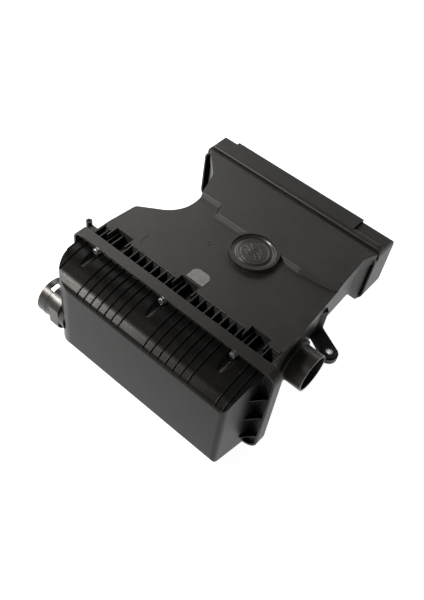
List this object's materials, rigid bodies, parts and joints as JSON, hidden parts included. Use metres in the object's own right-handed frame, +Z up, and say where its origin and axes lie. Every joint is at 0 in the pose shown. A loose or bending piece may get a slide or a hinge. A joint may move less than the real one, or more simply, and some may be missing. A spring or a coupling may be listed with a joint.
{
  "type": "air filter housing",
  "caption": "Black plastic engine air filter housing: ribbed front cover over a pleated filter, wide flat duct, side inlet and outlet tubes, rear chamber.",
  "frame": {"origin": "on the axis of the middle cover screw, level with its head, in the joint between cover and body", "axes": "+X along the joint toward the outlet side, +Y rearward from the cover to the rear chamber, +Z up with the top plate level as installed"},
  "size_m": [0.3735, 0.358, 0.1748],
  "materials": {
    "case_plastic": "moulded satin black",
    "plate_plastic": "fine woven grain, black",
    "cover_plastic": "smooth satin black",
    "tube_plastic": "smooth black",
    "badge_plastic": "polished black",
    "mesh_plastic": "moulded black",
    "label_film": "blank silver grey film",
    "filter_paper": "resin treated paper",
    "filter_foam": "moulded soft polyurethane",
    "soft_rubber": "moulded rubber",
    "insert_brass": "knurled brass",
    "plated_steel": "bright zinc plated"
  },
  "bodies": {
    "housing": {"filter_collar": "case_plastic", "threaded_inserts": "insert_brass", "upper_shell": "plate_plastic", "badge_disc": "badge_plastic", "spec_label": "label_film", "lower_shell": "case_plastic", "lug_grommet": "soft_rubber", "lug_sleeve": "plated_steel", "peg_isolator": "soft_rubber", "outlet_spigot": "tube_plastic", "outlet_trumpet": "tube_plastic", "rear_cap": "case_plastic"},
    "cover": {"front_cover": "cover_plastic", "inlet_spigot": "tube_plastic", "drain_valve": "soft_rubber", "screw_washers": "plated_steel"},
    "filter": {"filter_frame": "filter_foam", "filter_media": "filter_paper", "filter_mesh": "mesh_plastic"},
    "screw_left": {"cover_screw_left": "plated_steel"},
    "screw_middle": {"cover_screw_middle": "plated_steel"},
    "screw_right": {"cover_screw_right": "plated_steel"}
  },
  "joints": [
    {"name": "cover_pull", "type": "slide", "parent": "housing", "child": "cover", "axis": [0, -1, 0], "range_m": [0, 0.2]},
    {"name": "filter_pull", "type": "slide", "parent": "housing", "child": "filter", "axis": [0, -1, 0], "range_m": [0, 0.1]},
    {"name": "screw_left_out", "type": "slide", "parent": "cover", "child": "screw_left", "axis": [0, -1, 0], "range_m": [0, 0.012]},
    {"name": "screw_middle_out", "type": "slide", "parent": "cover", "child": "screw_middle", "axis": [0, -1, 0], "range_m": [0, 0.012]},
    {"name": "screw_right_out", "type": "slide", "parent": "cover", "child": "screw_right", "axis": [0, -1, 0], "range_m": [0, 0.012]}
  ],
  "couplings": [
    {"joint": "filter_pull", "follows": "cover_pull", "ratio": 0.5}
  ]
}
